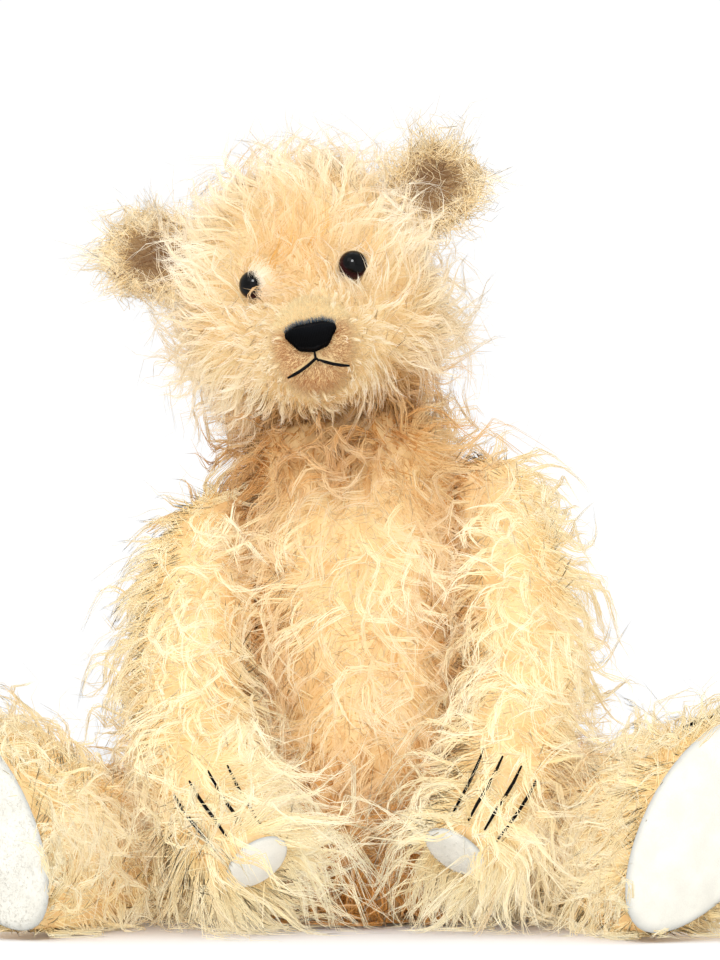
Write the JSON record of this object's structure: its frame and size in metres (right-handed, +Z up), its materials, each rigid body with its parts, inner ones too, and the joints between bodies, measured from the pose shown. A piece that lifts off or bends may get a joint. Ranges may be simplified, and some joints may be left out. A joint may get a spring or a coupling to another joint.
{
  "type": "jointed teddy bear",
  "caption": "Seated teddy bear in long golden mohair with felt pads, glass eyes and a stitched nose; head, arms and legs turn on disc joints.",
  "frame": {"origin": "middle of the flat seat under the torso, on the surface that the bear sits on", "axes": "+Z up, the bear faces -Y, its own left side is +X"},
  "size_m": [0.4119, 0.2432, 0.3917],
  "materials": {
    "mohair": "matte",
    "felt": "matte",
    "floss": "satin",
    "glass": "gloss",
    "hardboard": "matte",
    "steel": "satin"
  },
  "bodies": {
    "torso": {"torso": "mohair", "neck_torso_disc": "hardboard", "left_shoulder_torso_disc": "hardboard", "right_shoulder_torso_disc": "hardboard", "left_hip_torso_disc": "hardboard", "right_hip_torso_disc": "hardboard"},
    "head": {"head": "mohair", "left_ear": "mohair", "right_ear": "mohair", "left_eye": "glass", "right_eye": "glass", "nose": "floss", "mouth": "floss", "neck_limb_disc": "hardboard", "neck_bolt": "steel", "neck_lock_nut": "steel", "neck_washers": "steel"},
    "left_arm": {"left_arm": "mohair", "left_paw_pad": "felt", "left_paw_claws": "floss", "left_shoulder_limb_disc": "hardboard", "left_shoulder_bolt": "steel", "left_shoulder_lock_nut": "steel", "left_shoulder_washers": "steel"},
    "right_arm": {"right_arm": "mohair", "right_paw_pad": "felt", "right_paw_claws": "floss", "right_shoulder_limb_disc": "hardboard", "right_shoulder_bolt": "steel", "right_shoulder_lock_nut": "steel", "right_shoulder_washers": "steel"},
    "left_leg": {"left_leg": "mohair", "left_foot_pad": "felt", "left_foot_claws": "floss", "left_hip_limb_disc": "hardboard", "left_hip_bolt": "steel", "left_hip_lock_nut": "steel", "left_hip_washers": "steel"},
    "right_leg": {"right_leg": "mohair", "right_foot_pad": "felt", "right_foot_claws": "floss", "right_hip_limb_disc": "hardboard", "right_hip_bolt": "steel", "right_hip_lock_nut": "steel", "right_hip_washers": "steel"}
  },
  "joints": [
    {"name": "head_turn", "type": "hinge", "parent": "torso", "child": "head", "pos_m": [-0.017, 0.002, 0.25], "axis": [-0.1908, 0, 0.9816], "continuous": true},
    {"name": "left_arm_swing", "type": "hinge", "parent": "torso", "child": "left_arm", "pos_m": [0.04418, 0.002, 0.202], "axis": [-0.9877, 0.1564, 0], "range_deg": [0, 120]},
    {"name": "right_arm_swing", "type": "hinge", "parent": "torso", "child": "right_arm", "pos_m": [-0.05982, 0.002, 0.184], "axis": [-0.9877, -0.1564, 0], "range_deg": [0, 100]},
    {"name": "left_leg_swing", "type": "hinge", "parent": "torso", "child": "left_leg", "pos_m": [0.051, 0.015, 0.042], "axis": [-0.9194, -0.3529, 0.1736], "range_deg": [-90, 0]},
    {"name": "right_leg_swing", "type": "hinge", "parent": "torso", "child": "right_leg", "pos_m": [-0.051, 0.015, 0.042], "axis": [-0.8441, 0.5072, -0.1736], "range_deg": [-90, 0]}
  ]
}
